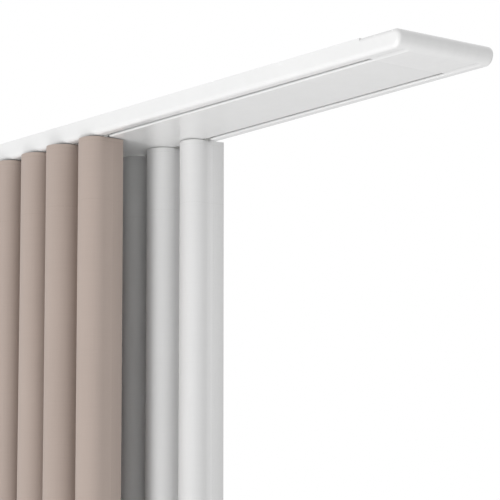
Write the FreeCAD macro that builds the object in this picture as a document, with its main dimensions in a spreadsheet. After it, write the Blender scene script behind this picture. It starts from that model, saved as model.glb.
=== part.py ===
import FreeCAD, Part
import math
import os
import re
import Sketcher
from FreeCAD import Placement, Rotation, Vector

# Double curtain track, fixed under a ceiling, with a front and a back curtain hung from it.
# +X runs along the track, +Y from the room to the wall behind, +Z up.
# The origin is the middle of the ceiling clip in the middle, on the ceiling.

doc = FreeCAD.newDocument("double_curtain_track")

# Driving sizes in millimetres and plain counts
DRIVING_SIZES = (
    ("track_length", 1000, "overall, with both end caps"),
    ("track_width", 140, "front face to back face"),
    ("track_height", 22, "top to underside"),
    ("nose_radius", 5, "lower front and back edges"),
    ("wall", 1.8, "outer wall of the profile"),
    ("rib", 1.5, "inner ribs of the profile"),
    ("slot_inset", 17.5, "front and back faces to the slot lines"),
    ("slot_gap", 8, "width of each slot"),
    ("slot_lip", 2.2, "thickness of the lips beside a slot"),
    ("lip_round", 2, "rounded lower edge of a lip"),
    ("channel_width", 17, "inside width of a glider channel"),
    ("channel_height", 8, "inside height of a glider channel"),
    ("recess_width", 40, "clip recess in the top, inside"),
    ("recess_opening", 32, "clip recess in the top, between its lips"),
    ("recess_depth", 6, "clip recess, from the top"),
    ("cap_length", 66, "end cap beyond the cut profile"),
    ("cap_round", 12.5, "rounding of the cap's lower end edge"),
    ("cap_top_round", 9, "rounding of the cap's upper end edge"),
    ("cap_corner", 4.8, "rounded corners of a cap, less than the nose radius"),
    ("cap_wall", 2.5, "shell of a cap"),
    ("groove_depth", 1.2, "shallow hollow that carries each slot on across a cap"),
    ("spigot_length", 18, "push-in length of a cap's spigots"),
    ("spigot_clearance", 0.2, "spigot to chamber, each side"),
    ("cap_screw_radius", 1.45, "cap screw shank"),
    ("cap_screw_head", 2.8, "cap screw countersunk head radius"),
    ("cap_screw_head_height", 1.2, "cap screw countersunk head"),
    ("cap_screw_length", 9, "cap screw, head and shank"),
    ("screw_slot", 0.6, "driver slot in a screw"),
    ("screw_clearance", 0.1, "screw to its clearance hole and countersink"),
    ("running_gap", 0.15, "between pieces that turn or slide"),
    ("clip_inset", 120, "outer ceiling clips from the track's ends"),
    ("clip_length", 60, "clip plate along the track"),
    ("clip_setback", 2, "back edge of the clip plate, so that it tilts into the recess"),
    ("clip_thickness", 1.6, "clip plate"),
    ("clip_hole_radius", 2.6, "hole for the ceiling screw"),
    ("claw_width", 10, "fixed claw of a clip"),
    ("claw_spacing", 40, "claw to claw"),
    ("claw_grip", 3.4, "claw foot under the recess lip"),
    ("pivot_along", 18, "ceiling hole to lever pivot, along the track"),
    ("pivot_back", 2, "ceiling hole to lever pivot, towards the back"),
    ("lever_thickness", 1.2, "lever arm"),
    ("lever_width", 9, "lever arm"),
    ("lever_overhang", 5, "lever tip beyond the back face"),
    ("cam_thickness", 1.6, "locking cam"),
    ("cam_width", 10, "nose of the cam"),
    ("cam_grip", 3, "cam nose under the recess lip"),
    ("hub_radius", 6, "hub between arm and cam"),
    ("rivet_radius", 2, "lever rivet shank"),
    ("rivet_head", 4, "lever rivet head radius"),
    ("rivet_head_height", 1, "lever rivet head"),
    ("rivet_play", 0.05, "rivet shank to lever bore"),
    ("glider_length", 9, "glider head along the track"),
    ("glider_head", 3, "thickness of the glider's head"),
    ("glider_side_gap", 0.5, "glider head to channel wall, each side"),
    ("neck_width", 6, "glider neck across the slot"),
    ("neck_length", 5, "glider neck along the track"),
    ("neck_drop", 1.4, "neck below the underside"),
    ("tongue_thickness", 2.4, "glider tongue"),
    ("tongue_drop", 13, "tongue below the underside"),
    ("stud_drop", 8.5, "hook stud below the underside"),
    ("stud_radius", 1.7, "hook stud"),
    ("hook_thickness", 1.6, "hook plate"),
    ("hook_width", 7, "hook plate"),
    ("hook_drop", 4.5, "top of the hook plate below the underside"),
    ("hook_length", 42, "hook plate"),
    ("front_intervals", 12, "glider to glider steps on the front slot"),
    ("back_intervals", 14, "glider to glider steps on the back slot"),
    ("glider_pitch", 28.6, "glider to glider at rest"),
    ("front_stop_inset", 18.8, "front end stop from the left end of the profile"),
    ("back_stop_inset", 21.5, "back end stop from the left end of the profile"),
    ("stop_length", 14, "end stop along the track"),
    ("stop_height", 5, "end stop inside the channel"),
    ("stop_drop", 1, "end stop foot below the underside"),
    ("stop_gap", 0.5, "end stop to the fixed glider"),
    ("stop_screw_radius", 1.5, "end stop clamp screw"),
    ("cloth_thickness", 1.2, "curtain cloth"),
    ("cloth_top_gap", 1.2, "curtain top below the underside"),
    ("cloth_drop", 1400, "curtain, top to hem"),
    ("fold_depth", 24, "slot line to the crest of a fold"),
    ("tape_thickness", 0.8, "heading tape"),
    ("tape_height", 75, "heading tape"),
    ("tape_drop", 3, "heading tape below the curtain's top"),
    ("seam_gap", 0.2, "heading tape to cloth"),
    ("soft_gap", 0.3, "heading tape to hook"),
)

sizes = doc.addObject("Spreadsheet::Sheet", "sizes")
for row, (alias, number, meaning) in enumerate(DRIVING_SIZES, start=1):
    sizes.set(f"A{row}", str(number))
    sizes.setAlias(f"A{row}", alias)
    sizes.set(f"B{row}", meaning)
doc.recompute()

ALIASES = {alias for alias, number, meaning in DRIVING_SIZES}

# Depths below the ceiling and places along the track, as formulas
TOP = "(clip_thickness + lever_thickness + 2 * running_gap)"
BOTTOM = f"({TOP} + track_height)"
CHANNEL_FLOOR = f"({BOTTOM} - slot_lip)"
CHANNEL_CEILING = f"({CHANNEL_FLOOR} - channel_height)"
RECESS_LIP = f"({TOP} + wall)"
RECESS_FLOOR = f"({TOP} + recess_depth)"
ARM_TOP = "(clip_thickness + running_gap)"
ARM_BOTTOM = f"({ARM_TOP} + lever_thickness)"
CAM_TOP = f"({RECESS_LIP} + running_gap)"
CAM_BOTTOM = f"({CAM_TOP} + cam_thickness)"
PROFILE_END = "(track_length / 2 - cap_length)"
CAP_END = "(track_length / 2)"
HALF_WIDTH = "(track_width / 2)"
SLOT = f"({HALF_WIDTH} - slot_inset)"
HALF_MOUTH = "(slot_gap / 2 + lip_round)"
CHANNEL_INNER = f"({SLOT} - channel_width / 2)"
CHANNEL_OUTER = f"({SLOT} + channel_width / 2)"
CHAMBER_INNER = "(recess_width / 2 + wall)"
CHAMBER_OUTER = f"({CHANNEL_INNER} - rib)"
CAP_SCREW_ALONG = f"({PROFILE_END} - spigot_length / 2)"
CAP_SCREW_ACROSS = f"(({CHAMBER_INNER} + {CHAMBER_OUTER}) / 2)"
HOOK_FACE = "(tongue_thickness / 2 + hook_thickness)"

ALONG_X = Rotation(Vector(0, 1, 0), 90)
ALONG_Y = Rotation(Vector(1, 0, 0), -90)
TURNED = Rotation(Vector(0, 0, 1), 180)

# A reach below this many millimetres is none
NO_REACH = 0.001

nodes = []


def bound(formula):
    """The formula with the name of every size pointing at its cell."""
    def cell(word):
        return "sizes." + word.group() if word.group() in ALIASES else word.group()
    return re.sub(r"[a-z_]+", cell, str(formula))


def size(alias):
    return float(sizes.get(alias))


def keep(piece, label):
    """Counts a finished piece as a node of the track."""
    piece.Label = label
    nodes.append(piece)
    return piece


def place(piece, x="0", y="0", z="0", rotation=None):
    if rotation is not None:
        piece.Placement = Placement(Vector(), rotation)
    for axis, formula in (("x", x), ("y", y), ("z", z)):
        piece.setExpression("Placement.Base." + axis, bound(formula))
    return piece


def between(reach):
    """Evenly about the middle, as a pair of formulas."""
    return ("-" + reach, reach)


def on_side(side, inner, outer):
    """From inner to outer, on the front side (-1) or the back side (+1) of the middle."""
    return (inner, outer) if side > 0 else ("-" + outer, "-" + inner)


def box(name, x, y, z):
    """A box between two formulas on each axis."""
    piece = doc.addObject("Part::Box", name)
    for side, (low, high) in (("Length", x), ("Width", y), ("Height", z)):
        piece.setExpression(side, bound(f"({high}) - ({low})"))
    return place(piece, x[0], y[0], z[0])


def cylinder(name, radius, height, x="0", y="0", z="0", rotation=None):
    piece = doc.addObject("Part::Cylinder", name)
    piece.setExpression("Radius", bound(radius))
    piece.setExpression("Height", bound(height))
    return place(piece, x, y, z, rotation)


def countersink(name, low_radius, high_radius):
    """A cone as deep as a cap screw's head, with its wide end at height zero."""
    piece = doc.addObject("Part::Cone", name)
    piece.setExpression("Radius1", bound(low_radius))
    piece.setExpression("Radius2", bound(high_radius))
    piece.setExpression("Height", bound("cap_screw_head_height"))
    return place(piece, z="-cap_screw_head_height")


def fuse(name, pieces):
    joined = doc.addObject("Part::MultiFuse", name)
    joined.Shapes = pieces
    joined.Refine = True
    return joined


def common(name, pieces):
    shared = doc.addObject("Part::MultiCommon", name)
    shared.Shapes = pieces
    return shared


def cut(name, base, tool):
    rest = doc.addObject("Part::Cut", name)
    rest.Base = base
    rest.Tool = tool
    return rest


def group(name, pieces, x="0", y="0", z="0", rotation=None):
    """One or more solids taken to a place of their own."""
    together = doc.addObject("Part::Compound", name)
    together.Links = pieces
    return place(together, x, y, z, rotation)


def new_sketch(body, name, role):
    sketch = body.newObject("Sketcher::SketchObject", name)
    plane = [item for item in body.Origin.OriginFeatures if item.Role == role][0]
    sketch.AttachmentSupport = [(plane, "")]
    sketch.MapMode = "FlatFace"
    return sketch


def distance(sketch, kind, index, point, formula, drawn=10.0):
    """Holds a point of a sketch, drawn about so far out, at a formula's distance from the origin."""
    sign = -1 if formula.startswith("-") else 1
    number = sketch.addConstraint(Sketcher.Constraint(kind, -1, 1, index, point, drawn * sign))
    sketch.setExpression(f"Constraints[{number}]", bound(formula))


def rectangle(sketch, x, y):
    """A rectangle between two formulas on each axis of the sketch."""
    first = sketch.GeometryCount
    corners = (Vector(-9, -9, 0), Vector(9, -9, 0), Vector(9, 9, 0), Vector(-9, 9, 0))
    for side in range(4):
        sketch.addGeometry(Part.LineSegment(corners[side], corners[(side + 1) % 4]))
    for side in range(4):
        neighbour = first + (side + 1) % 4
        direction = "Horizontal" if side % 2 == 0 else "Vertical"
        sketch.addConstraint(Sketcher.Constraint("Coincident", first + side, 2, neighbour, 1))
        sketch.addConstraint(Sketcher.Constraint(direction, first + side))
    distance(sketch, "DistanceX", first, 1, x[0])
    distance(sketch, "DistanceX", first, 2, x[1])
    distance(sketch, "DistanceY", first, 1, y[0])
    distance(sketch, "DistanceY", first + 2, 1, y[1])


def circle(sketch, radius, x="0", y="0"):
    index = sketch.addGeometry(Part.Circle(Vector(1, 1, 0), Vector(0, 0, 1), 3))
    number = sketch.addConstraint(Sketcher.Constraint("Radius", index, 3.0))
    sketch.setExpression(f"Constraints[{number}]", bound(radius))
    distance(sketch, "DistanceX", index, 3, x)
    distance(sketch, "DistanceY", index, 3, y)


def pad(body, name, sketch, length, side="One side", reverse=False):
    feature = body.newObject("PartDesign::Pad", name)
    feature.Profile = sketch
    feature.setExpression("Length", bound(length))
    feature.SideType = side
    feature.Reversed = reverse
    return feature


def pocket(body, name, sketch, length=None):
    """Cuts a sketch's shapes both ways from its plane, to a length or right through."""
    feature = body.newObject("PartDesign::Pocket", name)
    feature.Profile = sketch
    feature.SideType = "Symmetric"
    if length is None:
        feature.Type = "ThroughAll"
    else:
        feature.setExpression("Length", bound(length))
    return feature


def outline_with_noses(sketch):
    """The track's outer section: flat top and sides, rounded lower front and back edges."""
    # Roughly drawn here, and then held at the sizes
    half, high, low, radius = 70, -3, -25, 5
    upward = Vector(0, 0, 1)
    front_nose = Part.Circle(Vector(-half + radius, low + radius, 0), upward, radius)
    back_nose = Part.Circle(Vector(half - radius, low + radius, 0), upward, radius)
    sketch.addGeometry(Part.LineSegment(Vector(-half, high, 0), Vector(-half, low + radius, 0)))
    sketch.addGeometry(Part.ArcOfCircle(front_nose, math.pi, 1.5 * math.pi))
    sketch.addGeometry(Part.LineSegment(Vector(-half + radius, low, 0), Vector(half - radius, low, 0)))
    sketch.addGeometry(Part.ArcOfCircle(back_nose, 1.5 * math.pi, 2 * math.pi))
    sketch.addGeometry(Part.LineSegment(Vector(half, low + radius, 0), Vector(half, high, 0)))
    sketch.addGeometry(Part.LineSegment(Vector(half, high, 0), Vector(-half, high, 0)))
    for line in (0, 4):
        sketch.addConstraint(Sketcher.Constraint("Vertical", line))
    for line in (2, 5):
        sketch.addConstraint(Sketcher.Constraint("Horizontal", line))
    for line in (0, 1, 2, 3):
        sketch.addConstraint(Sketcher.Constraint("Tangent", line, 2, line + 1, 1))
    sketch.addConstraint(Sketcher.Constraint("Coincident", 4, 2, 5, 1))
    sketch.addConstraint(Sketcher.Constraint("Coincident", 5, 2, 0, 1))
    sketch.addConstraint(Sketcher.Constraint("Equal", 1, 3))
    number = sketch.addConstraint(Sketcher.Constraint("Radius", 1, float(radius)))
    sketch.setExpression(f"Constraints[{number}]", bound("nose_radius"))
    distance(sketch, "DistanceX", 0, 1, "-" + HALF_WIDTH)
    distance(sketch, "DistanceX", 4, 2, HALF_WIDTH)
    distance(sketch, "DistanceY", 0, 1, "-" + TOP)
    distance(sketch, "DistanceY", 2, 1, "-" + BOTTOM)


def slot_mouth(sketch, side):
    """A slot between its lips, opened out below by their rounded edges."""
    # Roughly drawn here, and then held at the sizes
    near, far, radius, high, low = side * 52 - 4, side * 52 + 4, 2, -20, -25
    near_edge, far_edge = near - radius, far + radius
    bend, foot = low + radius, low - radius
    upward = Vector(0, 0, 1)
    near_lip = Part.Circle(Vector(near_edge, bend, 0), upward, radius)
    far_lip = Part.Circle(Vector(far_edge, bend, 0), upward, radius)
    first = sketch.GeometryCount
    sketch.addGeometry(Part.LineSegment(Vector(near, high, 0), Vector(near, bend, 0)))
    sketch.addGeometry(Part.ArcOfCircle(near_lip, 1.5 * math.pi, 2 * math.pi))
    sketch.addGeometry(Part.LineSegment(Vector(near_edge, low, 0), Vector(near_edge, foot, 0)))
    sketch.addGeometry(Part.LineSegment(Vector(near_edge, foot, 0), Vector(far_edge, foot, 0)))
    sketch.addGeometry(Part.LineSegment(Vector(far_edge, foot, 0), Vector(far_edge, low, 0)))
    sketch.addGeometry(Part.ArcOfCircle(far_lip, math.pi, 1.5 * math.pi))
    sketch.addGeometry(Part.LineSegment(Vector(far, bend, 0), Vector(far, high, 0)))
    sketch.addGeometry(Part.LineSegment(Vector(far, high, 0), Vector(near, high, 0)))
    near_side, near_arc, near_drop, floor, far_drop, far_arc, far_side, roof = range(first, first + 8)
    for line in (near_side, near_drop, far_drop, far_side):
        sketch.addConstraint(Sketcher.Constraint("Vertical", line))
    for line in (floor, roof):
        sketch.addConstraint(Sketcher.Constraint("Horizontal", line))
    sketch.addConstraint(Sketcher.Constraint("Tangent", near_side, 2, near_arc, 2))
    sketch.addConstraint(Sketcher.Constraint("Tangent", far_arc, 1, far_side, 1))
    sketch.addConstraint(Sketcher.Constraint("Coincident", near_arc, 1, near_drop, 1))
    sketch.addConstraint(Sketcher.Constraint("Coincident", near_drop, 2, floor, 1))
    sketch.addConstraint(Sketcher.Constraint("Coincident", floor, 2, far_drop, 1))
    sketch.addConstraint(Sketcher.Constraint("Coincident", far_drop, 2, far_arc, 2))
    sketch.addConstraint(Sketcher.Constraint("Coincident", far_side, 2, roof, 1))
    sketch.addConstraint(Sketcher.Constraint("Coincident", roof, 2, near_side, 1))
    for arc in (near_arc, far_arc):
        number = sketch.addConstraint(Sketcher.Constraint("Radius", arc, float(radius)))
        sketch.setExpression(f"Constraints[{number}]", bound("lip_round"))
    straight = on_side(side, f"({SLOT} - slot_gap / 2)", f"({SLOT} + slot_gap / 2)")
    opened = on_side(side, f"({SLOT} - {HALF_MOUTH})", f"({SLOT} + {HALF_MOUTH})")
    distance(sketch, "DistanceX", near_side, 1, straight[0], abs(near))
    distance(sketch, "DistanceX", far_side, 1, straight[1], abs(far))
    distance(sketch, "DistanceX", near_drop, 1, opened[0], abs(near_edge))
    distance(sketch, "DistanceX", far_drop, 1, opened[1], abs(far_edge))
    distance(sketch, "DistanceY", near_side, 1, f"-({CHANNEL_FLOOR} - channel_height / 2)", abs(high))
    for line, point in ((near_side, 2), (far_side, 1)):
        distance(sketch, "DistanceY", line, point, f"-({BOTTOM} - lip_round)", abs(bend))
    distance(sketch, "DistanceY", floor, 1, f"-({BOTTOM} + lip_round)", abs(foot))


# Track profile: one extrusion with two glider channels, hollow chambers and a clip recess
profile = doc.addObject("PartDesign::Body", "profile")
section = new_sketch(profile, "profile_section", "YZ_Plane")
outline_with_noses(section)
pad(profile, "profile_length", section, f"2 * {PROFILE_END}", side="Symmetric")

hollows = new_sketch(profile, "profile_hollows", "YZ_Plane")
for side in (-1, 1):
    rectangle(hollows, on_side(side, CHANNEL_INNER, CHANNEL_OUTER),
              ("-" + CHANNEL_FLOOR, "-" + CHANNEL_CEILING))
    rectangle(hollows, on_side(side, CHANNEL_INNER, f"({HALF_WIDTH} - wall)"),
              (f"-({CHANNEL_CEILING} - rib)", f"-({TOP} + wall)"))
    rectangle(hollows, on_side(side, f"({CHANNEL_OUTER} + rib)", f"({HALF_WIDTH} - wall)"),
              (f"-({BOTTOM} - nose_radius)", "-" + CHANNEL_CEILING))
    rectangle(hollows, on_side(side, CHAMBER_INNER, CHAMBER_OUTER),
              (f"-({BOTTOM} - wall)", f"-({TOP} + wall)"))
rectangle(hollows, between("(recess_width / 2)"), (f"-({BOTTOM} - wall)", f"-({RECESS_FLOOR} + rib)"))
rectangle(hollows, between("(recess_width / 2)"), ("-" + RECESS_FLOOR, "-" + RECESS_LIP))
pocket(profile, "profile_chambers", hollows)

mouths = new_sketch(profile, "profile_mouths", "YZ_Plane")
for side in (-1, 1):
    slot_mouth(mouths, side)
rectangle(mouths, between("(recess_opening / 2)"), (f"-({RECESS_LIP} + wall)", f"-({TOP} - wall)"))
pocket(profile, "profile_slots", mouths)

# The profile's top is drilled and countersunk for the cap screws
bore_radius = "cap_screw_radius + screw_clearance"
screw_seat = fuse("screw_seat", [
    cylinder("screw_seat_bore", bore_radius, "2 * wall", z="-2 * wall"),
    countersink("screw_seat_cone", bore_radius, "cap_screw_head + screw_clearance"),
])
CAP_SCREW_PLACES = [
    (end + CAP_SCREW_ALONG, side + CAP_SCREW_ACROSS) for end in ("", "-") for side in ("", "-")
]
screw_seats = [
    group("screw_seat_placed", [screw_seat], along, across, "-" + TOP) for along, across in CAP_SCREW_PLACES
]
keep(cut("drilled_profile", profile, group("screw_seats", screw_seats)), "track_profile")

# End caps: the same section rounded off at the end, with two spigots that push into the profile. Each
# slot runs on across a cap as a shallow hollow, as wide as the slot's mouth.
cap_section = doc.addObject("PartDesign::Body", "cap_section")
cap_outline = new_sketch(cap_section, "cap_outline", "YZ_Plane")
outline_with_noses(cap_outline)
pad(cap_section, "cap_block", cap_outline, "cap_length")
place(cap_section, x=PROFILE_END)

# The end is rounded below and above, and then its front and back corners
cap_low_view = fuse("cap_low_view", [
    box("cap_low_block", (PROFILE_END, f"{CAP_END} - cap_round"), between(HALF_WIDTH),
        ("-" + BOTTOM, "-" + TOP)),
    box("cap_low_face", (PROFILE_END, CAP_END), between(HALF_WIDTH),
        (f"-({BOTTOM} - cap_round)", "-" + TOP)),
    cylinder("cap_low_round", "cap_round", "track_width", f"{CAP_END} - cap_round", "-" + HALF_WIDTH,
             f"-({BOTTOM} - cap_round)", ALONG_Y),
])
cap_top_view = fuse("cap_top_view", [
    box("cap_top_block", (PROFILE_END, f"{CAP_END} - cap_top_round"), between(HALF_WIDTH),
        ("-" + BOTTOM, "-" + TOP)),
    box("cap_top_face", (PROFILE_END, CAP_END), between(HALF_WIDTH),
        ("-" + BOTTOM, f"-({TOP} + cap_top_round)")),
    cylinder("cap_top_round", "cap_top_round", "track_width", f"{CAP_END} - cap_top_round",
             "-" + HALF_WIDTH, f"-({TOP} + cap_top_round)", ALONG_Y),
])
cap_blank = common("cap_blank", [cap_section, cap_low_view, cap_top_view])
cap_outside = doc.addObject("PartDesign::Body", "cap_outside")
cap_outside.BaseFeature = cap_blank
doc.recompute()
corner_edges = [
    f"Edge{number}" for number, edge in enumerate(cap_blank.Shape.Edges, 1)
    if edge.BoundBox.YLength < NO_REACH < edge.BoundBox.ZLength
    and edge.BoundBox.Center.x > cap_blank.Shape.BoundBox.Center.x
]
cap_corners = cap_outside.newObject("PartDesign::Fillet", "cap_corners")
cap_corners.Base = (cap_outside.Group[0], corner_edges)
cap_corners.setExpression("Radius", bound("cap_corner"))

cap_inner_end = f"({CAP_END} - cap_round - cap_wall)"
cap_space = [box("cap_space", (PROFILE_END, cap_inner_end), between(CHAMBER_OUTER),
                 (f"-({BOTTOM} - cap_wall)", f"-({TOP} + cap_wall)"))]
groove_radius = f"(({HALF_MOUTH} * {HALF_MOUTH} / groove_depth + groove_depth) / 2)"
for slot in ("-" + SLOT, SLOT):
    cap_space.append(cylinder("cap_groove", groove_radius, "cap_length", PROFILE_END, slot,
                              f"-({BOTTOM} - groove_depth + {groove_radius})", ALONG_X))
cap_shell = cut("cap_shell", cap_outside, fuse("cap_spaces", cap_space))

spigots = []
pilot_holes = []
for side, sign in ((-1, "-"), (1, "")):
    spigot_width = on_side(side, f"({CHAMBER_INNER} + spigot_clearance)",
                           f"({CHAMBER_OUTER} - spigot_clearance)")
    spigots.append(box("cap_spigot", (f"{PROFILE_END} - spigot_length", cap_inner_end), spigot_width,
                       (f"-({BOTTOM} - wall - spigot_clearance)", f"-({TOP} + wall + spigot_clearance)")))
    pilot_holes.append(cylinder("cap_pilot_hole", "cap_screw_radius", "cap_screw_length", CAP_SCREW_ALONG,
                                sign + CAP_SCREW_ACROSS, f"-({TOP} + cap_screw_length)"))
cap = cut("cap", fuse("cap_with_spigots", [cap_shell] + spigots), fuse("cap_pilot_holes", pilot_holes))
keep(group("right_cap", [cap]), "end_cap_right")
keep(group("left_cap", [cap], rotation=TURNED), "end_cap_left")

# Cap screws: countersunk flush with the top of the profile, so that the levers swing over them
cap_screw = cut("cap_screw", fuse("cap_screw_solid", [
    cylinder("cap_screw_shank", "cap_screw_radius", "cap_screw_length", z="-cap_screw_length"),
    countersink("cap_screw_head", "cap_screw_radius", "cap_screw_head"),
]), box("cap_screw_slot", between("cap_screw_head"), between("(screw_slot / 2)"),
        between("(cap_screw_head_height / 2)")))
cap_screws = [
    group("cap_screw_placed", [cap_screw], along, across, "-" + TOP) for along, across in CAP_SCREW_PLACES
]
keep(group("cap_screws", cap_screws), "end_cap_screws")

# Ceiling clips: a steel plate with two fixed claws under the front lip of the clip recess
plate = doc.addObject("PartDesign::Body", "plate")
plate_outline = new_sketch(plate, "plate_outline", "XY_Plane")
plate_front = "(recess_opening / 2 - 2 * running_gap)"
rectangle(plate_outline, between("(clip_length / 2)"), ("-" + plate_front, f"{plate_front} - clip_setback"))
circle(plate_outline, "clip_hole_radius")
circle(plate_outline, "rivet_radius", "pivot_along", "pivot_back")
pad(plate, "plate_sheet", plate_outline, "clip_thickness", reverse=True)

claw_bottom = f"({RECESS_LIP} + clip_thickness)"
claws = []
for sign in ("", "-"):
    claw_along = (f"{sign}claw_spacing / 2 - claw_width / 2", f"{sign}claw_spacing / 2 + claw_width / 2")
    claws.append(box("claw_leg", claw_along, ("-" + plate_front, f"-({plate_front} - clip_thickness)"),
                     ("-" + claw_bottom, "-clip_thickness / 2")))
    claws.append(box("claw_foot", claw_along,
                     ("-(recess_opening / 2 + claw_grip)", f"-({plate_front} - clip_thickness)"),
                     ("-" + claw_bottom, "-" + RECESS_LIP)))
clip = fuse("clip", [plate] + claws)

# Levers: an arm above the track that turns a cam under the back lip of the recess, locked at rest
lever_reach = f"({HALF_WIDTH} + lever_overhang - pivot_back - lever_width / 2)"
lever = cut("lever", fuse("lever_solid", [
    box("lever_arm", between("(lever_width / 2)"), ("0", lever_reach), ("-" + ARM_BOTTOM, "-" + ARM_TOP)),
    cylinder("lever_tip", "lever_width / 2", "lever_thickness", y=lever_reach, z="-" + ARM_BOTTOM),
    cylinder("lever_hub", "hub_radius", f"{CAM_BOTTOM} - {ARM_TOP}", z="-" + CAM_BOTTOM),
    box("lever_cam", between("(cam_width / 2)"), ("0", "recess_opening / 2 + cam_grip - pivot_back"),
        ("-" + CAM_BOTTOM, "-" + CAM_TOP)),
]), cylinder("lever_bore", "rivet_radius + rivet_play", BOTTOM, z="-" + BOTTOM))

# Rivets: the levers turn on them
rivet_head_top = f"({CAM_BOTTOM} + running_gap)"
rivet = fuse("rivet", [
    cylinder("rivet_shank", "rivet_radius", f"{rivet_head_top} + rivet_head_height",
             z=f"-({rivet_head_top} + rivet_head_height)"),
    cylinder("rivet_button", "rivet_head", "rivet_head_height",
             z=f"-({rivet_head_top} + rivet_head_height)"),
])

CLIP_PLACES = (("left", f"clip_inset - {CAP_END}"), ("middle", "0"), ("right", f"{CAP_END} - clip_inset"))
for where, along in CLIP_PLACES:
    keep(group("clip_placed", [clip], along), f"ceiling_clip_{where}")
for where, along in CLIP_PLACES:
    keep(group("lever_placed", [lever], f"{along} + pivot_along", "pivot_back"), f"clip_lever_{where}")
keep(group("rivets", [
    group("rivet_placed", [rivet], f"{along} + pivot_along", "pivot_back") for where, along in CLIP_PLACES
]), "clip_rivets")

# Gliders: a head on the lips of the slot, a neck through it and a tongue that carries the hook
glider_head_low = "(slot_lip + running_gap)"
glider = cut("glider", fuse("glider_solid", [
    box("glider_head", between("(glider_length / 2)"), between("(channel_width / 2 - glider_side_gap)"),
        (glider_head_low, f"{glider_head_low} + glider_head")),
    box("glider_neck", between("(neck_length / 2)"), between("(neck_width / 2)"),
        ("-neck_drop", f"{glider_head_low} + glider_head")),
    box("glider_tongue", between("(tongue_thickness / 2)"), between("(neck_width / 2)"),
        ("-tongue_drop", "0")),
]), cylinder("glider_bore", "stud_radius + rivet_play", "neck_length", "-neck_length / 2", z="-stud_drop",
             rotation=ALONG_X))
hook = fuse("hook", [
    box("hook_plate", ("tongue_thickness / 2", HOOK_FACE), between("(hook_width / 2)"),
        ("-hook_drop - hook_length", "-hook_drop")),
    cylinder("hook_stud", "stud_radius", f"{HOOK_FACE} + tongue_thickness", "-tongue_thickness",
             z="-stud_drop", rotation=ALONG_X),
])


def faces_back(step, intervals):
    """True where the cloth beside a glider runs from the room to the wall, seen along +X."""
    return (intervals - step) % 2 == 0


RUNS = {"front": "-" + SLOT, "back": SLOT}
hangers = {run: [] for run in RUNS}
for run, slot in RUNS.items():
    intervals = int(size(f"{run}_intervals"))
    first_glider = f"{run}_stop_inset - {PROFILE_END} + stop_length + stop_gap + glider_length / 2"
    for step in range(intervals + 1):
        turn = None if faces_back(step, intervals) else TURNED
        hanger = group("glider_placed", [glider, hook], f"{first_glider} + {step} * glider_pitch", slot,
                       "-" + BOTTOM, turn)
        hangers[run].append(keep(hanger, f"{run}_glider_{step:02d}"))

# End stops: clamped in the slots, they hold the fixed end of each curtain
stop_hole = cylinder("stop_hole", "stop_screw_radius", "track_height", z="-track_height / 2")
stop = cut("stop", fuse("stop_solid", [
    box("stop_block", between("(stop_length / 2)"), between("(channel_width / 2 - glider_side_gap)"),
        ("slot_lip", "slot_lip + stop_height")),
    box("stop_foot", between("(stop_length / 2)"), between("(neck_width / 2)"),
        ("-stop_drop", "slot_lip + stop_height")),
]), stop_hole)
stop_screw = cut("stop_screw", cylinder("stop_screw_solid", "stop_screw_radius",
                                        "stop_drop + slot_lip + channel_height", z="-stop_drop"),
                 box("stop_screw_slot", between("stop_screw_radius"), between("(screw_slot / 2)"),
                     ("-2 * stop_drop", "0")))
stop_screws = []
for run, slot in RUNS.items():
    along = f"{run}_stop_inset - {PROFILE_END} + stop_length / 2"
    keep(group("stop_placed", [stop], along, slot, "-" + BOTTOM), f"{run}_end_stop")
    stop_screws.append(group("stop_screw_placed", [stop_screw], along, slot, "-" + BOTTOM))
keep(group("stop_screws", stop_screws), "end_stop_screws")


def fold_side(flanks, slot, depth, offset):
    """One face of the folded cloth, seen from above, as lines and quarter arcs.

    flanks holds each straight stretch's place along the track and its way, +1 to the wall or
    -1 to the room. offset shifts the face to the left of the cloth's way along the track.
    """
    edges = []
    place_along, way = flanks[0]
    point = Vector(place_along - way * offset, slot - way * depth, 0)
    for (start, way), (end, _) in zip(flanks, flanks[1:]):
        radius = (end - start) / 2
        centre = Vector((start + end) / 2, slot + way * (depth - radius), 0)
        turned = radius + way * offset
        first = centre + Vector(-turned, 0, 0)
        crest = centre + Vector(0, way * turned, 0)
        last = centre + Vector(turned, 0, 0)
        slant = turned * math.sqrt(0.5)
        edges.append(Part.LineSegment(point, first))
        edges.append(Part.Arc(first, centre + Vector(-slant, way * slant, 0), crest))
        edges.append(Part.Arc(crest, centre + Vector(slant, way * slant, 0), last))
        point = last
    place_along, way = flanks[-1]
    edges.append(Part.LineSegment(point, Vector(place_along - way * offset, slot + way * depth, 0)))
    return [edge.toShape() for edge in edges]


def folded_sheet(flanks, slot, depth, low, high, drop):
    """A hanging sheet between two offsets from the folded line."""
    one_side = fold_side(flanks, slot, depth, low)
    other_side = fold_side(flanks, slot, depth, high)
    ends = [
        Part.makeLine(one_side[0].Vertexes[0].Point, other_side[0].Vertexes[0].Point),
        Part.makeLine(one_side[-1].Vertexes[-1].Point, other_side[-1].Vertexes[-1].Point),
    ]
    outline = Part.Wire(Part.sortEdges(one_side + other_side + ends)[0])
    return Part.Face(outline).extrude(Vector(0, 0, -drop))


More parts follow.
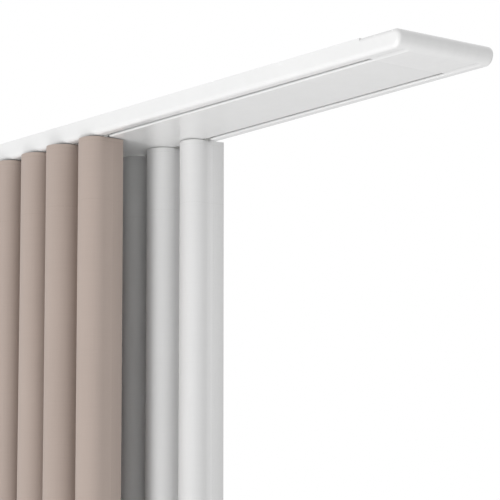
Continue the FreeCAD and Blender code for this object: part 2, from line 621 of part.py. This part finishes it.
# Curtains and their heading tapes: every fold passes two hooks and turns at the front and the back
doc.recompute()
half_cloth = size("cloth_thickness") / 2
tape_low = half_cloth + size("seam_gap")
tape_high = tape_low + size("tape_thickness")
cloth_reach = size("tongue_thickness") / 2 + size("hook_thickness") + size("soft_gap") + tape_high
for run, hung in hangers.items():
    first = hung[0].Placement.Base
    curtain_top = first.z - size("cloth_top_gap")
    folds = []
    for step, hanger in enumerate(hung):
        way = 1 if faces_back(step, len(hung) - 1) else -1
        folds.append((hanger.Placement.Base.x + way * cloth_reach, way))
    curtain = doc.addObject("Part::Feature", f"{run}_cloth")
    curtain.Shape = folded_sheet(folds, first.y, size("fold_depth"), -half_cloth, half_cloth,
                                 size("cloth_drop"))
    curtain.Placement = Placement(Vector(0, 0, curtain_top), Rotation())
    keep(curtain, f"{run}_curtain")
    tape = doc.addObject("Part::Feature", f"{run}_tape")
    tape.Shape = folded_sheet(folds, first.y, size("fold_depth"), tape_low, tape_high, size("tape_height"))
    tape.Placement = Placement(Vector(0, 0, curtain_top - size("tape_drop")), Rotation())
    keep(tape, f"{run}_heading_tape")

# Checks of the finished pieces, then one file for each
doc.recompute()
for item in doc.Objects:
    if "Invalid" in item.State or "Error" in item.State:
        raise RuntimeError(f"{item.Label} failed: {item.State}")
for node in nodes:
    if node.Shape.isNull() or not node.Shape.isValid() or not node.Shape.Solids:
        raise RuntimeError(f"{node.Label} has no sound solid")

os.makedirs("parts", exist_ok=True)
for node in nodes:
    node.Shape.exportStep(f"parts/{node.Label}.step")
    bounds = node.Shape.BoundBox
    print(f"{node.Label}: {len(node.Shape.Solids)} solid(s), {node.Shape.Volume:.0f} cubic mm,",
          f"x {bounds.XMin:.1f} to {bounds.XMax:.1f}, y {bounds.YMin:.1f} to {bounds.YMax:.1f},",
          f"z {bounds.ZMin:.1f} to {bounds.ZMax:.1f}")
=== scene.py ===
import math

import bpy
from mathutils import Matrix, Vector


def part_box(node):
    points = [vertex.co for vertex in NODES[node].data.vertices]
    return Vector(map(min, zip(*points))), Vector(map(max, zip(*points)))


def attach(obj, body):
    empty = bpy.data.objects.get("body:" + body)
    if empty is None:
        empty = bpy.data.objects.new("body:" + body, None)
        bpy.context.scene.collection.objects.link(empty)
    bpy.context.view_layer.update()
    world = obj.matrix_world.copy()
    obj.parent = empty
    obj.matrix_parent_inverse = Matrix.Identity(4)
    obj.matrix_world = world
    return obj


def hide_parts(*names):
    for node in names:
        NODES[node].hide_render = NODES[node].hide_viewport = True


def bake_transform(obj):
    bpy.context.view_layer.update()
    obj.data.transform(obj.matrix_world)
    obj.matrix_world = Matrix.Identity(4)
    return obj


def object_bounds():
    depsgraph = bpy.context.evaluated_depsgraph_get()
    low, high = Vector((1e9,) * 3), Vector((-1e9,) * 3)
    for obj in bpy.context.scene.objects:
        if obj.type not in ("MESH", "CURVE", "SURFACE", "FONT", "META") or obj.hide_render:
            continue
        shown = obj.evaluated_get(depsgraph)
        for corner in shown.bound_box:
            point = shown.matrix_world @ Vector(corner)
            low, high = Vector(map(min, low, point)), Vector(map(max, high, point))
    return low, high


# A white double curtain track under a ceiling, with a taupe front curtain and a white back curtain.
# +X runs along the track, +Y from the room to the wall, +Z up. Metres.

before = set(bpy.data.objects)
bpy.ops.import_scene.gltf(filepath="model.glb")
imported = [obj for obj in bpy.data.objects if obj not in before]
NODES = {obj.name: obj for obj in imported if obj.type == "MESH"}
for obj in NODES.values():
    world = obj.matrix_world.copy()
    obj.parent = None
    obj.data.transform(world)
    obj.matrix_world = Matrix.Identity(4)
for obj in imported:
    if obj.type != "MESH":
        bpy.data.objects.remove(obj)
cad_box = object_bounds()

# How many steps between gliders each curtain has
GLIDER_STEPS = {run: len([name for name in NODES if name.startswith(f"{run}_glider_")]) - 1
                for run in ("front", "back")}

# Cloth sizes, as in the model's source. The folds reach FOLD_DEPTH to either side of the slot, and the
# tape's two faces lie TAPE_LOW and TAPE_HIGH above the middle of the cloth.
CLOTH_DROP = 1.400
CLOTH_THICKNESS = 0.0012
CLOTH_FROM_HOOK = 0.0047
FOLD_DEPTH = 0.024
TAPE_LOW = 0.0008
TAPE_HIGH = 0.0016
TAPE_BELOW_TOP = 0.003
TAPE_HEIGHT = 0.075
HEM_HEIGHT = 0.080
SIDE_HEM = 0.016
HEM_EXTRA = 0.0007

# Stitches: their row's place inside an edge, their pitch, half widths and how far the cloth puckers
STITCH_INSET = 0.002
STITCH_PITCH = 0.0036
STITCH_HALF_SHARE = 0.38
STITCH_HALF_WIDTH = 0.0004
PUCKER_REACH = 0.004

# The heading tape's draw cords and its pockets for the hooks, from the tape's or the cloth's top
CORD_DROPS = (0.012, 0.035, 0.058)
CORD_CORE = 0.0006
CORD_REACH = 0.0018
POCKET_OUTLINE = ((-0.0072, 0.0017), (-0.0052, 0.0019), (-0.0043, 0.0026), (-0.0038, 0.0038),
                  (0.0, 0.0040),
                  (0.0038, 0.0038), (0.0043, 0.0026), (0.0052, 0.0019), (0.0072, 0.0017))
POCKET_TOP = 0.026
POCKET_BOTTOM = 0.042
POCKET_THICKNESS = 0.00035

# How far the first bulges from each leading edge stand out and lean, as in the photo, and the others
DEEPER = {"front": (-0.001, 0.0045, 0.001), "back": (-0.001, 0.0035, 0.0)}
LEAN = {"front": (0.001, -0.002, 0.0), "back": (0.0035, -0.001, 0.0)}
UNEVEN = 0.0006

# The free edge beyond the last hook: how far it hangs past the slot and how it turns outwards
LEADING_EDGE = {"front": 0.024, "back": 0.0215}
FLARE = {"front": 0.0, "back": math.radians(12)}

# How a bulge slackens down to the hem: how far, and in waves of so many radians for each metre
SLACK_DEPTH = 0.0022
SLACK_LEAN = 0.0030
SLACK_POWER = 1.3
DEPTH_WAVE = 3.1
LEAN_WAVE = 2.3

# How the cloth is divided into faces, and how it thins out at a cut edge
FLANK_STEPS = 3
BULGE_STEPS = 22
CLOTH_ROW = 0.045
TAPE_ROW = 0.0075
POCKET_ROW = 0.004
TOP_ROWS = (0.0004, 0.003, 0.006, 0.012)
HEM_STEP = 0.0006
SIDE_HEM_STEP = 0.0003
EDGE_STEP = 0.0005
AT_EDGE = 0.0002
EDGE_SHARE = 0.45
SHARP = math.radians(50)

# The view and the light, fitted to the photo
LENS = 273.6
CAMERA_PLACE = (3.4916, -2.6839, -1.0259)
CAMERA_TURN = (math.radians(101.077), 0.0, math.radians(51.166))
SURROUND_LEVEL = 0.69
FLOOR_BELOW = 0.15
FLOOR_REACH = 9.0


# Materials

class Shading:
    """A principled material and short calls for its nodes."""

    def __init__(self, name, **values):
        self.material = bpy.data.materials.new(name)
        self.material.use_nodes = True
        self.tree = self.material.node_tree
        self.surface = self.tree.nodes["Principled BSDF"]
        for socket, value in values.items():
            self.surface.inputs[socket.replace("_", " ")].default_value = value

    def node(self, kind, settings=None, **inputs):
        made = self.tree.nodes.new("ShaderNode" + kind)
        for key, value in (settings or {}).items():
            setattr(made, key, value)
        for socket, value in inputs.items():
            self.feed(made.inputs[socket.replace("_", " ")], value)
        return made

    def feed(self, socket, value):
        if isinstance(value, bpy.types.NodeSocket):
            self.tree.links.new(value, socket)
        else:
            socket.default_value = value

    def math(self, operation, first, second=0.0, third=0.0):
        made = self.tree.nodes.new("ShaderNodeMath")
        made.operation = operation
        for socket, value in zip(made.inputs, (first, second, third)):
            self.feed(socket, value)
        return made.outputs[0]

    def object_space(self, scale=(1, 1, 1)):
        place = self.node("TexCoord").outputs["Object"]
        return self.node("Mapping", Vector=place, Scale=scale).outputs[0]

    def cloth_space(self):
        """The place on the flat cloth: the vector, and metres across and down."""
        flat = self.node("UVMap", {"uv_map": "cloth"}).outputs[0]
        parts = self.node("SeparateXYZ", Vector=flat)
        return flat, parts.outputs["X"], parts.outputs["Y"]

    def noise(self, vector, scale, detail=2.0, roughness=0.5):
        return self.node("TexNoise", Vector=vector, Scale=scale, Detail=detail,
                         Roughness=roughness).outputs["Fac"]

    def ramp(self, factor, low, high):
        """A value from low to high as factor goes over the middle of a noise's range."""
        return self.node("MapRange", Value=factor, From_Min=0.3, From_Max=0.7, To_Min=low,
                         To_Max=high).outputs[0]

    def stretched(self, vector, scale, detail=3.0):
        """A noise of a size of its own along each axis."""
        return self.noise(self.node("Mapping", Vector=vector, Scale=scale).outputs[0], 1.0, detail)

    def fade(self, value, near, far):
        """1 up to near and 0 from far on."""
        return self.node("MapRange", Value=value, From_Min=near, From_Max=far, To_Min=1.0,
                         To_Max=0.0).outputs[0]

    def mix(self, factor, first, second):
        """A colour between two, each a colour or a node's output."""
        mixed = self.node("Mix", {"data_type": "RGBA"})
        self.feed(mixed.inputs[0], factor)
        for socket, colour in zip((mixed.inputs[6], mixed.inputs[7]), (first, second)):
            self.feed(socket, (*colour, 1) if isinstance(colour, tuple) else colour)
        return mixed.outputs[2]

    def colour(self, socket):
        self.feed(self.surface.inputs["Base Color"], socket)

    def rough(self, socket):
        self.feed(self.surface.inputs["Roughness"], socket)

    def bump(self, height, distance, strength, under=None):
        made = self.node("Bump", Height=height, Distance=distance, Strength=strength)
        if under is not None:
            self.feed(made.inputs["Normal"], under)
        self.feed(self.surface.inputs["Normal"], made.outputs[0])
        return made.outputs[0]


def worn_edges(shading, spread):
    """1 on sharp outer edges and 0 elsewhere, broken up by noise."""
    pointed = shading.node("NewGeometry").outputs["Pointiness"]
    edge = shading.node("MapRange", Value=pointed, From_Min=0.53, From_Max=0.60).outputs[0]
    return shading.math("MULTIPLY", edge, shading.ramp(shading.noise(spread, 60.0, 3.0), 0.2, 1.0))


def lacquered_aluminium(name, tones, rough, coat):
    """White lacquer on extruded aluminium: faint drawing lines along the track and a thin gloss."""
    shading = Shading(name, Coat_Weight=coat, Coat_Roughness=0.04, IOR=1.5)
    everywhere = shading.object_space()
    cloudy = shading.noise(everywhere, 9.0, 2.0)
    rubbed = shading.math("MULTIPLY", worn_edges(shading, everywhere), 0.35)
    tone = shading.mix(shading.ramp(cloudy, 0.0, 1.0), *tones)
    shading.colour(shading.mix(rubbed, tone, (0.75, 0.75, 0.74)))
    shading.rough(shading.ramp(shading.noise(everywhere, 14.0, 1.0), *rough))
    peel = shading.noise(everywhere, 260.0, 1.0)
    drawn = shading.noise(shading.object_space((0.25, 60.0, 60.0)), 12.0, 3.0)
    fine = shading.bump(peel, 0.00002, 0.15)
    shading.bump(drawn, 0.00003, 0.15, under=fine)
    return shading.material


def moulded_plastic(name, tones, rough, coat=0.0):
    """White moulded plastic: a fine spark-eroded grain, slight flow marks and rubbed edges."""
    shading = Shading(name, Coat_Weight=coat, Coat_Roughness=0.05, IOR=1.49)
    everywhere = shading.object_space()
    flow = shading.noise(shading.object_space((1.0, 3.0, 1.0)), 30.0, 3.0, 0.6)
    rubbed = shading.math("MULTIPLY", worn_edges(shading, everywhere), 0.4)
    tone = shading.mix(shading.ramp(flow, 0.0, 1.0), *tones)
    shading.colour(shading.mix(rubbed, tone, tuple(0.93 * value for value in tones[0])))
    shading.rough(shading.ramp(shading.noise(everywhere, 20.0, 1.0), *rough))
    shading.bump(shading.noise(everywhere, 1600.0, 2.0), 0.00003, 0.35)
    return shading.material


def plated_steel(name, tones, rough, brushed):
    """Zinc-plated steel: crystalline mottling, fine scratches and paler rubbed edges.

    brushed stretches the scratches: they are short along the axis of its greatest number.
    """
    shading = Shading(name, Metallic=1.0)
    everywhere = shading.object_space()
    mottled = shading.node("TexVoronoi", Vector=everywhere, Scale=260.0).outputs["Distance"]
    scratched = shading.noise(shading.object_space(brushed), 90.0, 4.0, 0.7)
    blend = shading.math("MULTIPLY_ADD", mottled, 0.35, shading.math("MULTIPLY", scratched, 0.65))
    rubbed = shading.math("MULTIPLY", worn_edges(shading, everywhere), 0.6)
    tone = shading.mix(shading.ramp(blend, 0.0, 1.0), *tones)
    shading.colour(shading.mix(rubbed, tone, (0.86, 0.86, 0.87)))
    shading.rough(shading.ramp(scratched, *rough))
    shading.bump(scratched, 0.00003, 0.5)
    return shading.material


def cloth(name, tones, width, yarn, sheen, thread):
    """A plain-weave curtain cloth: crossing yarns, slubs, sewn hems and the heading tape's seams."""
    shading = Shading(name, Sheen_Weight=sheen, Sheen_Roughness=0.45, IOR=1.45)
    shading.surface.inputs["Specular IOR Level"].default_value = 0.25
    flat, across, down = shading.cloth_space()

    # Warp and weft yarns cross over and under each other
    warp = shading.math("SINE", shading.math("MULTIPLY", across, 2 * math.pi / yarn))
    weft = shading.math("SINE", shading.math("MULTIPLY", down, 2 * math.pi / yarn))
    weave = shading.math("MULTIPLY_ADD", shading.math("MULTIPLY", warp, weft), 0.5, 0.5)
    warp_slub = shading.stretched(flat, (1400.0, 18.0, 1.0))
    weft_slub = shading.stretched(flat, (16.0, 1200.0, 1.0))
    slub = shading.math("MULTIPLY", shading.math("ADD", warp_slub, weft_slub), 0.5)
    clouds = shading.stretched(flat, (7.0, 4.0, 1.0), 2.0)
    depth = shading.math("MULTIPLY_ADD", clouds, 0.5, shading.math("MULTIPLY", slub, 0.5))
    tone = shading.mix(shading.ramp(depth, 0.0, 1.0), *tones)

    # Rows of stitches: side hems, bottom hem and the two seams of the heading tape
    side = shading.math("MINIMUM", across, shading.math("SUBTRACT", width, across))
    stitch_down = dashes(shading, down)
    stitch_across = dashes(shading, across)
    rows = (
        (side, SIDE_HEM - STITCH_INSET, stitch_down),
        (down, CLOTH_DROP - HEM_HEIGHT + STITCH_INSET, stitch_across),
        (down, TAPE_BELOW_TOP + STITCH_INSET, stitch_across),
        (down, TAPE_BELOW_TOP + TAPE_HEIGHT - STITCH_INSET, stitch_across),
    )
    stitches = pucker = 0.0
    for distance, place, dash in rows:
        row = shading.math("COMPARE", distance, place, STITCH_HALF_WIDTH)
        stitches = shading.math("MAXIMUM", stitches, shading.math("MULTIPLY", row, dash))
        off = shading.math("ABSOLUTE", shading.math("SUBTRACT", distance, place))
        pucker = shading.math("MAXIMUM", pucker, shading.fade(off, 0.0, PUCKER_REACH))
    shading.colour(shading.mix(shading.math("MULTIPLY", stitches, 0.3), tone, thread))
    shading.rough(shading.ramp(slub, 0.78, 0.92))
    threads = shading.bump(weave, 0.00012, 0.35)
    slubs = shading.bump(slub, 0.0002, 0.25, under=threads)
    height = shading.math("SUBTRACT", shading.math("MULTIPLY", stitches, 0.6), pucker)
    shading.bump(height, 0.0002, 0.4, under=slubs)
    return shading.material


def dashes(shading, coordinate):
    """1 along a stitch and 0 between two stitches."""
    share = shading.math("FRACT", shading.math("DIVIDE", coordinate, STITCH_PITCH))
    return shading.math("COMPARE", share, 0.5, STITCH_HALF_SHARE)


def woven_tape():
    """White heading tape: ribs, picks and three draw cords woven in."""
    shading = Shading("woven_tape", Sheen_Weight=0.2, Sheen_Roughness=0.4)
    flat, across, down = shading.cloth_space()
    ribs = shading.math("SINE", shading.math("MULTIPLY", across, 2 * math.pi / 0.0011))
    picks = shading.math("SINE", shading.math("MULTIPLY", down, 2 * math.pi / 0.0007))
    weave = shading.math("MULTIPLY_ADD", shading.math("MULTIPLY", ribs, picks), 0.5, 0.5)
    fuzz = shading.stretched(flat, (900.0, 500.0, 1.0))
    shading.colour(shading.mix(shading.ramp(fuzz, 0.0, 1.0), (0.78, 0.78, 0.76), (0.86, 0.86, 0.84)))
    shading.rough(shading.ramp(fuzz, 0.75, 0.9))
    cords = 0.0
    for place in CORD_DROPS:
        off = shading.math("ABSOLUTE", shading.math("SUBTRACT", down, TAPE_BELOW_TOP + place))
        cords = shading.math("MAXIMUM", cords, shading.fade(off, CORD_CORE, CORD_REACH))
    fine = shading.bump(weave, 0.0002, 0.5)
    shading.bump(cords, 0.0006, 0.8, under=fine)
    return shading.material


# The folded cloth, seen from above

class Fold:
    """The cloth between two hooks: two flanks along Y and the bulge that joins them.

    way is +1 where the bulge is at the wall and -1 where it is at the room. deeper moves the
    bulge's crest outwards and lean moves it along the track. flare turns cloth beyond the end
    away from the curtain.
    """

    def __init__(self, start, end, slot, way, deeper, lean, phase, flare):
        self.start, self.end, self.slot, self.way = start, end, slot, way
        self.deeper, self.lean, self.phase, self.flare = deeper, lean, phase, flare
        self.radius = (end - start) / 2
        self.flank = FOLD_DEPTH - self.radius
        self.length = 2 * self.flank + math.pi * self.radius

    def at(self, along):
        """The point and the direction to the cloth's back side, after so much cloth."""
        turn = (along - self.flank) / self.radius
        if turn < 0:
            return self.start, self.slot + self.way * along, -self.way, 0.0
        if turn > math.pi:
            return self.end, self.slot + self.way * (self.length - along), self.way, 0.0
        x = (self.start + self.end) / 2 - self.radius * math.cos(turn)
        y = self.slot + self.way * (self.flank + self.radius * math.sin(turn))
        return x, y, -self.way * math.cos(turn), math.sin(turn)

    def hung(self, along, drop):
        """The same, so far below the top, where the bulge has slackened a little."""
        x, y, across, out = self.at(min(max(along, 0.0), self.length))
        if along < 0:
            y -= self.way * -along
        elif along > self.length:
            x += (along - self.length) * math.sin(self.flare)
            y -= self.way * (along - self.length) * math.cos(self.flare)
            across, out = self.way * math.cos(self.flare), math.sin(self.flare)
        share = min(max(along / self.length, 0.0), 1.0)
        free = math.sin(math.pi * share) ** 2
        slack = (drop / CLOTH_DROP) ** SLACK_POWER
        deeper = self.deeper + slack * SLACK_DEPTH * math.sin(DEPTH_WAVE * drop + self.phase)
        lean = self.lean + slack * SLACK_LEAN * math.sin(LEAN_WAVE * drop + 1.7 * self.phase)
        return x + free * lean, y + free * self.way * deeper, across, out

    def stations(self):
        """Places along the cloth: a few on each flank and close ones round the bulge."""
        flanks = [self.flank * step / FLANK_STEPS for step in range(FLANK_STEPS)]
        turn = math.pi * self.radius
        bulge = [self.flank + turn * step / BULGE_STEPS for step in range(BULGE_STEPS + 1)]
        return flanks + bulge + [self.length - place for place in reversed(flanks)]


def rows_between(top, bottom, step, extra=()):
    """Even rows about a step apart from top to bottom, with the extra ones among them."""
    count = max(1, round((bottom - top) / step))
    rows = [top + (bottom - top) * index / count for index in range(count + 1)]
    return sorted(set(rows) | set(extra))


def closed_sheet(name, stations, rows, point, flat):
    """A thin closed shell over stations and rows. point gives each corner of a layer."""
    corners, flats, faces = [], [], []
    wide, tall = len(stations), len(rows)
    for layer in (0, 1):
        for drop in rows:
            for along in stations:
                corners.append(point(along, drop, layer))
                flats.append(flat(along, drop))
    size = wide * tall
    for row in range(tall - 1):
        for column in range(wide - 1):
            first = row * wide + column
            quad = (first, first + wide, first + wide + 1, first + 1)
            faces.append(tuple(reversed(quad)))
            faces.append(tuple(size + corner for corner in quad))
    rim = [(row * wide, (row + 1) * wide) for row in range(tall - 1)]
    rim += [((tall - 1) * wide + column, (tall - 1) * wide + column + 1) for column in range(wide - 1)]
    rim += [((row + 1) * wide + wide - 1, row * wide + wide - 1) for row in range(tall - 1)]
    rim += [(column + 1, column) for column in range(wide - 1)]
    faces += [(a, b, size + b, size + a) for a, b in rim]
    mesh = bpy.data.meshes.new(name)
    mesh.from_pydata(corners, [], faces)
    layer = mesh.uv_layers.new(name="cloth")
    for loop in mesh.loops:
        layer.data[loop.index].uv = flats[loop.vertex_index]
    mesh.shade_smooth()
    mesh.set_sharp_from_angle(angle=SHARP)
    mesh.update()
    piece = bpy.data.objects.new(name, mesh)
    bpy.context.scene.collection.objects.link(piece)
    return piece


def flank_at(run, step):
    """Where the cloth passes a glider: x, the side of the hook that it is on, and the slot's y."""
    low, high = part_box(f"{run}_glider_{step:02d}")
    way = 1 if (GLIDER_STEPS[run] - step) % 2 == 0 else -1
    return (low.x + high.x) / 2 + way * CLOTH_FROM_HOOK, way, (low.y + high.y) / 2


def folds_of(run):
    """The curtain's folds from its fixed end to its leading edge."""
    steps = GLIDER_STEPS[run]
    flanks = [flank_at(run, step) for step in range(steps + 1)]
    folds = []
    for step in range(steps):
        (start, way, slot), (end, _, _) = flanks[step], flanks[step + 1]
        from_lead = (steps - 1 - step) // 2
        set_by_photo = way < 0 and from_lead < len(DEEPER[run])
        deeper = DEEPER[run][from_lead] if set_by_photo else UNEVEN * math.sin(2.4 * step)
        lean = LEAN[run][from_lead] if set_by_photo else UNEVEN * math.sin(1.3 * step + 1)
        flare = FLARE[run] if step == steps - 1 else 0.0
        folds.append(Fold(start, end, slot, way, deeper, lean, 1.9 * step, flare))
    return folds


def body_of_glider(run, step):
    """The body that carries a glider. The first one is held by its end stop."""
    return "track" if step == 0 else f"{run}_glider_{step:02d}"


def flat_width(run):
    """The whole curtain's width, laid flat."""
    return sum(fold.length for fold in folds_of(run)) + FOLD_DEPTH + LEADING_EDGE[run]


def hang_curtain(run, cloth_look, tape_look):
    """One curtain with its heading tape and hook pockets, in one panel for each step between hooks."""
    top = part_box(f"{run}_curtain")[1].z
    folds = folds_of(run)
    width = flat_width(run)
    half = CLOTH_THICKNESS / 2
    hem = CLOTH_DROP - HEM_HEIGHT
    cloth_rows = rows_between(0.0, CLOTH_DROP, CLOTH_ROW,
                              (*TOP_ROWS, hem - HEM_STEP, hem + HEM_STEP, CLOTH_DROP - EDGE_STEP))
    tape_rows = rows_between(TAPE_BELOW_TOP, TAPE_BELOW_TOP + TAPE_HEIGHT, TAPE_ROW)
    used = FOLD_DEPTH
    for step, fold in enumerate(folds):
        first, last = step == 0, step == len(folds) - 1
        stations = fold.stations()
        if first:
            stations = [-FOLD_DEPTH, -FOLD_DEPTH + EDGE_STEP, SIDE_HEM - FOLD_DEPTH - SIDE_HEM_STEP,
                        SIDE_HEM - FOLD_DEPTH + SIDE_HEM_STEP] + stations
        if last:
            free = fold.length + LEADING_EDGE[run]
            stations += [free - SIDE_HEM - SIDE_HEM_STEP, free - SIDE_HEM + SIDE_HEM_STEP,
                         free - EDGE_STEP, free]

        def from_side(along, used=used):
            return min(used + along, width - used - along)

        def cloth_point(along, drop, layer, fold=fold, from_side=from_side):
            x, y, across, out = fold.hung(along, drop)
            hemmed = drop > hem or from_side(along) < SIDE_HEM
            shell = half + (HEM_EXTRA if hemmed and layer == 1 else 0.0)
            if drop == 0.0 or drop == CLOTH_DROP or from_side(along) < AT_EDGE:
                shell *= EDGE_SHARE
            offset = shell if layer == 1 else -shell
            return x + offset * across, y + offset * out, top - drop

        def tape_point(along, drop, layer, fold=fold):
            x, y, across, out = fold.hung(along, drop)
            offset = TAPE_HIGH if layer == 1 else TAPE_LOW
            return x + offset * across, y + offset * out, top - drop

        def flat(along, drop, used=used):
            return used + along, drop

        panel = closed_sheet(f"{run}_cloth_{step + 1:02d}", stations, cloth_rows, cloth_point, flat)
        tape = closed_sheet(f"{run}_tape_{step + 1:02d}", stations, tape_rows, tape_point, flat)
        panel.data.materials.append(cloth_look)
        tape.data.materials.append(tape_look)
        bodies = body_of_glider(run, step), body_of_glider(run, step + 1)
        for piece in (panel, tape):
            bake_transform(piece)
        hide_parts(f"{run}_curtain")
        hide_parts(f"{run}_heading_tape")
        pockets = [hook_pocket(run, step + 1, tape_look, top)]
        if first:
            pockets.append(hook_pocket(run, 0, tape_look, top))
        used += fold.length


def hook_pocket(run, step, look, top):
    """The strip of tape that holds a hook: up over the hook's plate and down on its other side."""
    cloth_line, way, slot = flank_at(run, step)

    def point(index, drop, layer):
        along, off = POCKET_OUTLINE[index]
        off += POCKET_THICKNESS * layer
        return cloth_line - way * off, slot + along, top - drop

    def flat(index, drop):
        return POCKET_OUTLINE[index][0], drop

    rows = rows_between(POCKET_TOP, POCKET_BOTTOM, POCKET_ROW)
    pocket = closed_sheet(f"{run}_pocket_{step:02d}", range(len(POCKET_OUTLINE)), rows, point, flat)
    if way < 0:
        pocket.data.flip_normals()
    pocket.data.materials.append(look)
    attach(pocket, body_of_glider(run, step))
    return pocket


# Finishes of the carried-over pieces
FINISHES = {
    "track_profile": lacquered_aluminium(
        "white_lacquer", ((0.800, 0.803, 0.805), (0.826, 0.827, 0.826)), rough=(0.285, 0.315), coat=0.5),
    "end_cap": moulded_plastic(
        "white_cap", ((0.80, 0.80, 0.80), (0.828, 0.828, 0.826)), rough=(0.29, 0.33), coat=0.35),
    "end_cap_screws": plated_steel(
        "screw_steel", ((0.50, 0.51, 0.53), (0.70, 0.71, 0.73)), rough=(0.28, 0.45), brushed=(1, 1, 8)),
    "ceiling_clip": plated_steel(
        "clip_steel", ((0.55, 0.56, 0.58), (0.72, 0.73, 0.75)), rough=(0.30, 0.48), brushed=(1, 12, 1)),
    "clip_lever": plated_steel(
        "lever_steel", ((0.50, 0.51, 0.54), (0.68, 0.69, 0.72)), rough=(0.26, 0.42), brushed=(12, 1, 1)),
    "clip_rivets": plated_steel(
        "rivet_steel", ((0.46, 0.47, 0.49), (0.66, 0.67, 0.69)), rough=(0.25, 0.40), brushed=(6, 6, 1)),
    "end_stop": moulded_plastic(
        "stop_plastic", ((0.80, 0.80, 0.79), (0.85, 0.85, 0.84)), rough=(0.40, 0.52)),
    "end_stop_screws": plated_steel(
        "stop_screw_steel", ((0.48, 0.49, 0.51), (0.68, 0.69, 0.71)), rough=(0.30, 0.45),
        brushed=(1, 1, 6)),
    "glider": moulded_plastic(
        "glider_nylon", ((0.80, 0.80, 0.77), (0.86, 0.86, 0.84)), rough=(0.38, 0.50)),
}


def finish_of(node):
    """A piece's own finish, or else that of its family."""
    if node in FINISHES:
        return FINISHES[node]
    for family in ("end_stop", "end_cap", "ceiling_clip", "clip_lever", "glider"):
        if family in node:
            return FINISHES[family]
    return FINISHES["track_profile"]


for name, node in NODES.items():
    for slot in node.material_slots:
        slot.material = finish_of(name)

taupe = cloth("taupe_cloth", ((0.470, 0.388, 0.343), (0.530, 0.438, 0.388)), flat_width("front"),
              yarn=0.0011, sheen=0.20, thread=(0.405, 0.330, 0.285))
white = cloth("white_cloth", ((0.820, 0.820, 0.818), (0.868, 0.868, 0.866)), flat_width("back"),
              yarn=0.0008, sheen=0.10, thread=(0.72, 0.72, 0.71))
tape_cloth = woven_tape()
hang_curtain("front", taupe, tape_cloth)
hang_curtain("back", white, tape_cloth)

# Camera: below the track, looking up at its open end
camera = bpy.data.objects.new("camera", bpy.data.cameras.new("camera"))
bpy.context.scene.collection.objects.link(camera)
bpy.context.scene.camera = camera
camera.data.lens = LENS
camera.data.clip_end = 100.0
camera.location = CAMERA_PLACE
camera.rotation_euler = CAMERA_TURN

# Light: a soft lamp low in the room, a faint one below the track and an even surrounding


def lamp(name, place, target, size, power):
    """A round lamp that points at the target and isn't seen itself."""
    light = bpy.data.lights.new(name, "AREA")
    light.shape = "DISK"
    light.size = size
    light.energy = power
    source = bpy.data.objects.new(name, light)
    bpy.context.scene.collection.objects.link(source)
    source.location = place
    aim = [goal - start for goal, start in zip(target, place)]
    flat = math.hypot(aim[0], aim[1])
    source.rotation_euler = (math.atan2(flat, -aim[2]), 0.0, math.atan2(-aim[0], aim[1]))
    source.visible_camera = False
    return source


lamp("key", place=(0.5, -3.35, -1.1), target=(-0.1, 0.0, 0.0), size=0.8, power=36.5)
fill = lamp("fill", place=(0.5, -0.6, -1.5), target=(0.2, 0.0, 0.0), size=1.4, power=14.0)

# The faint lamp lights the hard pieces alone: it stands close to the opened curtains
lit_by_fill = bpy.data.collections.new("lit_by_fill")
for node in NODES.values():
    lit_by_fill.objects.link(node)
fill.light_linking.receiver_collection = lit_by_fill

# White where it is seen, straight, reflected or through a piece, and dimmer where it only lights
world = bpy.data.worlds.new("surround")
bpy.context.scene.world = world
world.use_nodes = True
nodes, links = world.node_tree.nodes, world.node_tree.links
path = nodes.new("ShaderNodeLightPath")
seen = path.outputs["Is Camera Ray"]
for ray in ("Is Glossy Ray", "Is Transmission Ray"):
    either = nodes.new("ShaderNodeMath")
    either.operation = "MAXIMUM"
    links.new(seen, either.inputs[0])
    links.new(path.outputs[ray], either.inputs[1])
    seen = either.outputs[0]
strength = nodes.new("ShaderNodeMapRange")
strength.inputs["To Min"].default_value = SURROUND_LEVEL
strength.inputs["To Max"].default_value = 1.0
links.new(seen, strength.inputs["Value"])
sky = nodes["Background"]
sky.inputs["Color"].default_value = (1, 1, 1, 1)
links.new(strength.outputs[0], sky.inputs["Strength"])

# Floor: plain and pale, below the hanging curtains
floor_mesh = bpy.data.meshes.new("floor")
level = cad_box[0][2] - FLOOR_BELOW
floor_mesh.from_pydata([(-FLOOR_REACH, -FLOOR_REACH, level), (FLOOR_REACH, -FLOOR_REACH, level),
                        (FLOOR_REACH, FLOOR_REACH, level), (-FLOOR_REACH, FLOOR_REACH, level)],
                       [], [(0, 1, 2, 3)])
floor = bpy.data.objects.new("floor", floor_mesh)
bpy.context.scene.collection.objects.link(floor)
ground = Shading("pale_floor", Roughness=0.9)
ground.colour(ground.mix(ground.ramp(ground.noise(ground.object_space(), 3.0), 0.0, 1.0),
                         (0.80, 0.80, 0.80), (0.83, 0.83, 0.83)))
floor_mesh.materials.append(ground.material)

bpy.context.scene.view_settings.view_transform = "Standard"
